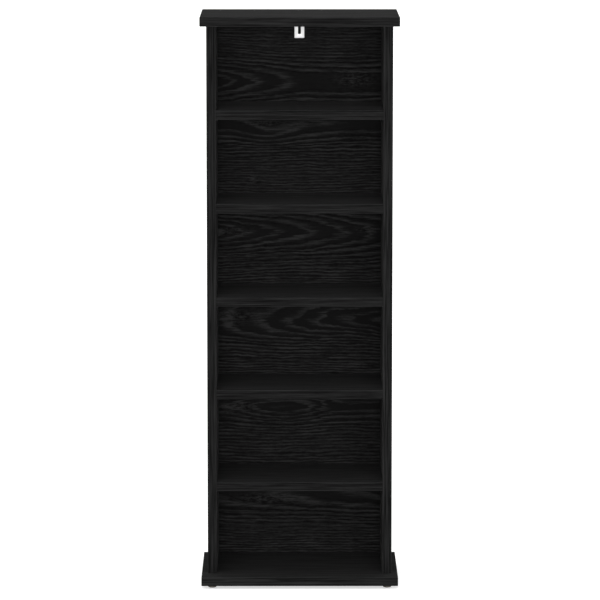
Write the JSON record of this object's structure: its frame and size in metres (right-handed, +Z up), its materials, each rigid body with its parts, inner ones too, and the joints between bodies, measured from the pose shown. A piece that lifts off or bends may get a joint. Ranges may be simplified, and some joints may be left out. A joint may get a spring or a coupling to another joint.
{
  "type": "disc storage tower",
  "caption": "Tall open tower of black wood-grain boards with equal fixed shelves for discs, an overhanging top and base, low round glides and a slotted wall bracket.",
  "frame": {"origin": "the floor under the middle of the base, which is the middle of the bottom of the bounding box", "axes": "+Z up, -Y out of the open front towards the user, +Y to the wall behind, +X to the right of a user who faces the front"},
  "size_m": [0.32, 0.2, 0.9302],
  "materials": {
    "black_grain_board": "black oak-look foil on particleboard, satin to matt",
    "black_grain_back": "black oak-look print on the front of a thin hardboard, bare brown behind",
    "beech": "bare fluted beech",
    "zinc": "die-cast zinc, dull",
    "zinc_plated_steel": "bright zinc plating",
    "white_paint": "smooth white powder paint on steel strip",
    "taupe_plastic": "matt moulded plastic"
  },
  "bodies": {
    "root": {"back_panel": "black_grain_back", "base_board": "black_grain_board", "base_screw_front_left": "zinc_plated_steel", "base_screw_front_right": "zinc_plated_steel", "base_screw_rear_left": "zinc_plated_steel", "base_screw_rear_right": "zinc_plated_steel", "glide_front_left": "taupe_plastic", "glide_front_right": "taupe_plastic", "glide_nail_front_left": "zinc_plated_steel", "glide_nail_front_right": "zinc_plated_steel", "glide_nail_rear_left": "zinc_plated_steel", "glide_nail_rear_right": "zinc_plated_steel", "glide_rear_left": "taupe_plastic", "glide_rear_right": "taupe_plastic", "shelf_1": "black_grain_board", "shelf_1_cam_bolt_left": "zinc_plated_steel", "shelf_1_cam_bolt_right": "zinc_plated_steel", "shelf_1_cam_left": "zinc", "shelf_1_cam_right": "zinc", "shelf_1_dowel_left": "beech", "shelf_1_dowel_right": "beech", "shelf_2": "black_grain_board", "shelf_2_cam_bolt_left": "zinc_plated_steel", "shelf_2_cam_bolt_right": "zinc_plated_steel", "shelf_2_cam_left": "zinc", "shelf_2_cam_right": "zinc", "shelf_2_dowel_left": "beech", "shelf_2_dowel_right": "beech", "shelf_3": "black_grain_board", "shelf_3_cam_bolt_left": "zinc_plated_steel", "shelf_3_cam_bolt_right": "zinc_plated_steel", "shelf_3_cam_left": "zinc", "shelf_3_cam_right": "zinc", "shelf_3_dowel_left": "beech", "shelf_3_dowel_right": "beech", "shelf_4": "black_grain_board", "shelf_4_cam_bolt_left": "zinc_plated_steel", "shelf_4_cam_bolt_right": "zinc_plated_steel", "shelf_4_cam_left": "zinc", "shelf_4_cam_right": "zinc", "shelf_4_dowel_left": "beech", "shelf_4_dowel_right": "beech", "shelf_5": "black_grain_board", "shelf_5_cam_bolt_left": "zinc_plated_steel", "shelf_5_cam_bolt_right": "zinc_plated_steel", "shelf_5_cam_left": "zinc", "shelf_5_cam_right": "zinc", "shelf_5_dowel_left": "beech", "shelf_5_dowel_right": "beech", "side_panel_left": "black_grain_board", "side_panel_right": "black_grain_board", "top_board": "black_grain_board", "top_cam_bolt_left": "zinc_plated_steel", "top_cam_bolt_right": "zinc_plated_steel", "top_cam_left": "zinc", "top_cam_right": "zinc", "top_dowel_left": "beech", "top_dowel_right": "beech", "wall_bracket": "white_paint", "wall_bracket_screw": "zinc_plated_steel"}
  },
  "joints": []
}
